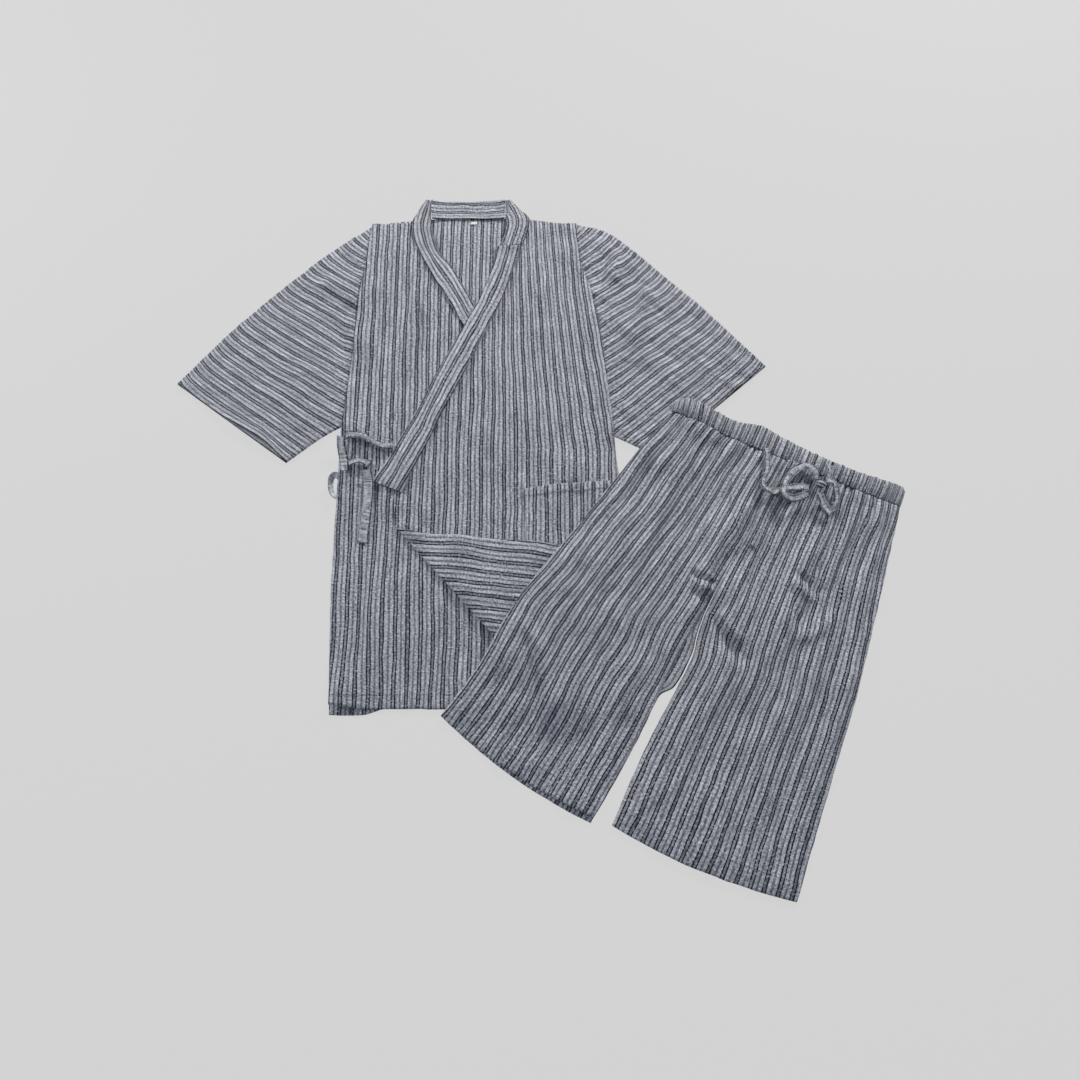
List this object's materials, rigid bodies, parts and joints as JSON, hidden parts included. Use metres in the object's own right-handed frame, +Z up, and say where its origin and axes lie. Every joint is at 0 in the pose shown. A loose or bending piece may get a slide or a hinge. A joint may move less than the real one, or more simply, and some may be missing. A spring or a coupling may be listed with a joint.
{
  "type": "jinbei set, short-sleeved wrap jacket and drawstring shorts, laid flat",
  "caption": "Striped cotton jinbei set laid flat: wrap jacket with a turned-back front corner and side ties, and elastic-waist shorts with a drawstring bow.",
  "frame": {"origin": "middle of the set's box, on the surface it lies on", "axes": "+Z up from the surface, +Y towards the jacket's collar, +X towards the wearer's left sleeve"},
  "size_m": [1.0702, 1.055, 0.0222],
  "materials": {
    "striped_cotton": "matt crinkled yarn-dyed stripe, navy and grey",
    "label_tape": "plain white woven tape"
  },
  "bodies": {
    "root": {"jacket_back": "striped_cotton", "jacket_front_right": "striped_cotton", "jacket_front_left": "striped_cotton", "sleeve_right": "striped_cotton", "sleeve_left": "striped_cotton", "collar_back": "striped_cotton", "collar_right": "striped_cotton", "collar_left_neck": "striped_cotton", "collar_left": "striped_cotton", "neck_label": "label_tape", "pocket": "striped_cotton", "tie_front": "striped_cotton", "tie_side_fold": "striped_cotton", "tie_side_loop": "striped_cotton", "tie_cross": "striped_cotton", "tie_tail": "striped_cotton", "shorts_back_right": "striped_cotton", "shorts_back_left": "striped_cotton", "shorts_front_right": "striped_cotton", "shorts_front_left": "striped_cotton", "waistband": "striped_cotton", "drawstring_lead_right": "striped_cotton", "drawstring_loop_right": "striped_cotton", "drawstring_lead_left": "striped_cotton", "drawstring_loop_left": "striped_cotton", "drawstring_tail_left": "striped_cotton", "drawstring_knot": "striped_cotton"}
  },
  "joints": []
}
